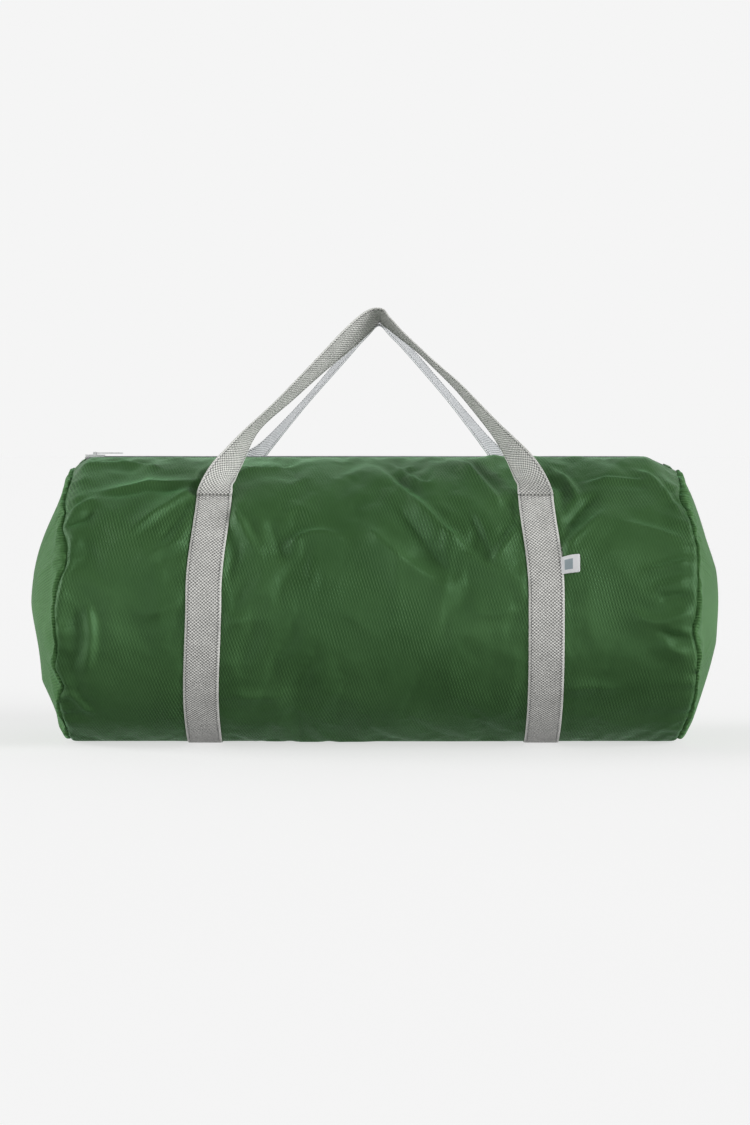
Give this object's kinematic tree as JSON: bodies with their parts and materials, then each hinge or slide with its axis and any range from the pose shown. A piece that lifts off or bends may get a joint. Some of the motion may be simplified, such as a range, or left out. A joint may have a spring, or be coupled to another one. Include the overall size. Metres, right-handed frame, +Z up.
{
  "type": "rope storage bag",
  "caption": "Long round duffel for climbing rope: coated nylon, two webbing bands that run on as a pair of raised carry handles, and a full-length top zipper.",
  "frame": {"origin": "on the floor under the middle of the bag", "axes": "+X along the bag, -Y out of the front with the side label, +Z up"},
  "size_m": [1.016, 0.4538, 0.6392],
  "materials": {
    "nylon": "green coated nylon packcloth, fine ribbed weave with a satin sheen",
    "webbing": "light grey two inch nylon webbing, coarse woven face",
    "binding": "dark seam binding tape, matt",
    "zipper_tape": "light grey woven zipper tape",
    "zipper_coil": "grey nylon coil",
    "slider_metal": "dark enamelled die casting",
    "pull_metal": "dark enamelled pressing",
    "label": "white woven label",
    "thread": "grey bonded polyester thread"
  },
  "bodies": {
    "root": {"body_panel": "nylon", "left_band": "webbing", "left_end_coil": "zipper_coil", "left_end_panel": "nylon", "left_end_tape": "zipper_tape", "left_rim_binding": "binding", "right_band": "webbing", "right_end_coil": "zipper_coil", "right_end_panel": "nylon", "right_end_tape": "zipper_tape", "right_rim_binding": "binding", "zipper_end_tabs": "nylon", "zipper_stops": "slider_metal"},
    "front_lip": {"front_left_band": "webbing", "front_lip_panel": "nylon", "front_right_band": "webbing", "front_tack_stitching": "thread", "front_zipper_coil": "zipper_coil", "front_zipper_tape": "zipper_tape", "side_label": "label"},
    "back_lip": {"back_left_band": "webbing", "back_lip_panel": "nylon", "back_right_band": "webbing", "back_tack_stitching": "thread", "back_zipper_coil": "zipper_coil", "back_zipper_tape": "zipper_tape"},
    "front_handle": {"front_handle": "webbing"},
    "back_handle": {"back_handle": "webbing"},
    "zip_slider": {"slider_body": "slider_metal", "pull_pin": "slider_metal"},
    "zip_pull": {"pull_tab": "pull_metal"}
  },
  "joints": [
    {"name": "zip_travel", "type": "slide", "parent": "root", "child": "zip_slider", "axis": [1, 0, 0], "range_m": [0, 0.834]},
    {"name": "pull_swing", "type": "hinge", "parent": "zip_slider", "child": "zip_pull", "pos_m": [-0.418, 0, 0.4256], "axis": [0, -1, 0], "range_deg": [0, 170]},
    {"name": "front_lip_tilt", "type": "hinge", "parent": "root", "child": "front_lip", "pos_m": [0, -0.225, 0.204], "axis": [1, 0, 0], "range_deg": [0, 14.4]},
    {"name": "back_lip_tilt", "type": "hinge", "parent": "root", "child": "back_lip", "pos_m": [0, 0.225, 0.204], "axis": [-1, 0, 0], "range_deg": [0, 14.4]},
    {"name": "front_handle_swing", "type": "hinge", "parent": "front_lip", "child": "front_handle", "pos_m": [0, -0.15258, 0.36686], "axis": [1, 0, 0], "range_deg": [0, 140]},
    {"name": "back_handle_swing", "type": "hinge", "parent": "back_lip", "child": "back_handle", "pos_m": [0, 0.15258, 0.36686], "axis": [-1, 0, 0], "range_deg": [0, 140]}
  ],
  "couplings": [
    {"joint": "front_lip_tilt", "follows": "zip_travel", "rad_per_m": 0.3},
    {"joint": "back_lip_tilt", "follows": "zip_travel", "rad_per_m": 0.3}
  ]
}
